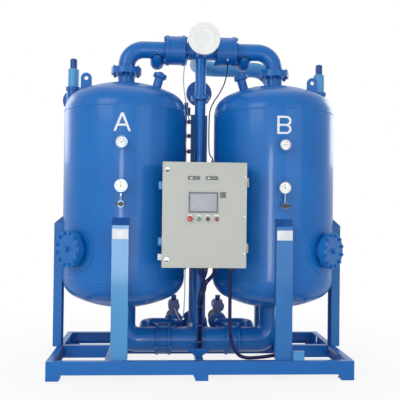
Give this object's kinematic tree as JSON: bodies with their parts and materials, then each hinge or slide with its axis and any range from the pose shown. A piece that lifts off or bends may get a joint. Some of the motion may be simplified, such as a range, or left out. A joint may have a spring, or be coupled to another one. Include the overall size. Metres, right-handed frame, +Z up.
{
  "type": "twin-tower desiccant air dryer",
  "caption": "Industrial desiccant compressed-air dryer: blue pressure towers on a skid, joined by top and bottom piping, with a control cabinet in front.",
  "frame": {"origin": "middle of the anchor bolt pattern, on the floor", "axes": "+X from tower A to tower B, +Y from the control panel to the rear, +Z up"},
  "size_m": [2.4322, 1.5151, 2.7252],
  "materials": {
    "blue_paint": "semi-gloss",
    "cabinet_paint": "textured satin",
    "bare_steel": "satin",
    "bright_metal": "polished",
    "desiccant": "matte",
    "white_plastic": "satin",
    "black_plastic": "satin",
    "red_plastic": "gloss",
    "green_plastic": "gloss",
    "cable_jacket": "satin",
    "tube_plastic": "satin",
    "valve_paint": "satin"
  },
  "bodies": {
    "frame": {"skid_long_rails": "blue_paint", "skid_end_rails": "blue_paint", "skid_cross_rails": "blue_paint", "skid_feet": "blue_paint", "legs_a": "blue_paint", "legs_b": "blue_paint", "tower_a": "blue_paint", "tower_b": "blue_paint", "bed_screens": "bare_steel", "desiccant_beds": "desiccant", "lifting_lugs": "blue_paint", "fill_caps": "blue_paint", "blind_covers": "blue_paint", "safety_valves": "blue_paint", "thermometers": "bright_metal", "pressure_gauges": "bright_metal", "gauge_cocks": "bare_steel", "outlet_elbow_a": "blue_paint", "outlet_elbow_b": "blue_paint", "outlet_check_bodies": "blue_paint", "outlet_tee": "blue_paint", "outlet_protector": "white_plastic", "rear_pipe": "blue_paint", "purge_lines": "blue_paint", "middle_pipe": "blue_paint", "inlet_elbow_a": "blue_paint", "inlet_elbow_b": "blue_paint", "inlet_check_bodies": "blue_paint", "inlet_manifold": "blue_paint", "inlet_branch": "blue_paint", "exhaust_pipes": "blue_paint", "exhaust_valve_bodies": "valve_paint", "actuators": "valve_paint", "silencers": "blue_paint", "panel_post": "blue_paint", "manifold_support": "blue_paint", "cabinet_box": "cabinet_paint", "control_plate": "bare_steel", "junction_box": "blue_paint", "control_cables": "cable_jacket", "conduit": "cable_jacket", "air_tubes": "tube_plastic", "flange_bolts": "blue_paint"},
    "cock_lever_a_body": {"cock_lever_a": "black_plastic"},
    "cock_lever_b_body": {"cock_lever_b": "black_plastic"},
    "outlet_check_a": {"outlet_check_disc_a": "bare_steel"},
    "outlet_check_b": {"outlet_check_disc_b": "bare_steel"},
    "inlet_check_a": {"inlet_check_disc_a": "bare_steel"},
    "inlet_check_b": {"inlet_check_disc_b": "bare_steel"},
    "exhaust_valve_a": {"exhaust_disc_a": "bare_steel"},
    "exhaust_valve_b": {"exhaust_disc_b": "bare_steel"},
    "door": {"cabinet_door": "cabinet_paint", "touch_screen": "black_plastic", "panel_displays": "black_plastic"},
    "upper_lock_body": {"upper_lock": "bright_metal"},
    "lower_lock_body": {"lower_lock": "bright_metal"},
    "stop_button_body": {"stop_button": "red_plastic"},
    "start_button_body": {"start_button": "green_plastic"},
    "selector_body": {"mode_selector": "black_plastic"},
    "reset_button_body": {"reset_button": "red_plastic"}
  },
  "joints": [
    {"name": "cock_a_turn", "type": "hinge", "parent": "frame", "child": "cock_lever_a_body", "pos_m": [-0.619, -0.575, 1.307], "axis": [0, 1, 0], "range_deg": [0, 90]},
    {"name": "cock_b_turn", "type": "hinge", "parent": "frame", "child": "cock_lever_b_body", "pos_m": [0.619, -0.575, 1.307], "axis": [0, 1, 0], "range_deg": [0, 90]},
    {"name": "outlet_check_a_lift", "type": "slide", "parent": "frame", "child": "outlet_check_a", "axis": [1, 0, 0], "range_m": [0, 0.018], "stiffness_N_per_m": 400},
    {"name": "outlet_check_b_lift", "type": "slide", "parent": "frame", "child": "outlet_check_b", "axis": [-1, 0, 0], "range_m": [0, 0.018], "stiffness_N_per_m": 400},
    {"name": "inlet_check_a_lift", "type": "slide", "parent": "frame", "child": "inlet_check_a", "axis": [-1, 0, 0], "range_m": [0, 0.018], "stiffness_N_per_m": 400},
    {"name": "inlet_check_b_lift", "type": "slide", "parent": "frame", "child": "inlet_check_b", "axis": [1, 0, 0], "range_m": [0, 0.018], "stiffness_N_per_m": 400},
    {"name": "exhaust_a_turn", "type": "hinge", "parent": "frame", "child": "exhaust_valve_a", "pos_m": [-0.194, 0.32548, 0.28978], "axis": [0, 0, 1], "range_deg": [0, 90]},
    {"name": "exhaust_b_turn", "type": "hinge", "parent": "frame", "child": "exhaust_valve_b", "pos_m": [0.194, 0.32548, 0.28978], "axis": [0, 0, 1], "range_deg": [0, 90]},
    {"name": "door_swing", "type": "hinge", "parent": "frame", "child": "door", "pos_m": [0.32, -0.6598, 1.233], "axis": [0, 0, 1], "range_deg": [0, 110]},
    {"name": "upper_lock_turn", "type": "hinge", "parent": "door", "child": "upper_lock_body", "pos_m": [-0.275, -0.6831, 1.563], "axis": [0, 1, 0], "range_deg": [0, 90]},
    {"name": "lower_lock_turn", "type": "hinge", "parent": "door", "child": "lower_lock_body", "pos_m": [-0.275, -0.6831, 0.903], "axis": [0, 1, 0], "range_deg": [0, 90]},
    {"name": "stop_press", "type": "slide", "parent": "door", "child": "stop_button_body", "axis": [0, 1, 0], "range_m": [0, 0.004], "stiffness_N_per_m": 500},
    {"name": "start_press", "type": "slide", "parent": "door", "child": "start_button_body", "axis": [0, 1, 0], "range_m": [0, 0.004], "stiffness_N_per_m": 500},
    {"name": "selector_turn", "type": "hinge", "parent": "door", "child": "selector_body", "pos_m": [0.023, -0.6831, 1.204], "axis": [0, 1, 0], "range_deg": [-45, 45]},
    {"name": "reset_press", "type": "slide", "parent": "door", "child": "reset_button_body", "axis": [0, 1, 0], "range_m": [0, 0.004], "stiffness_N_per_m": 500}
  ]
}
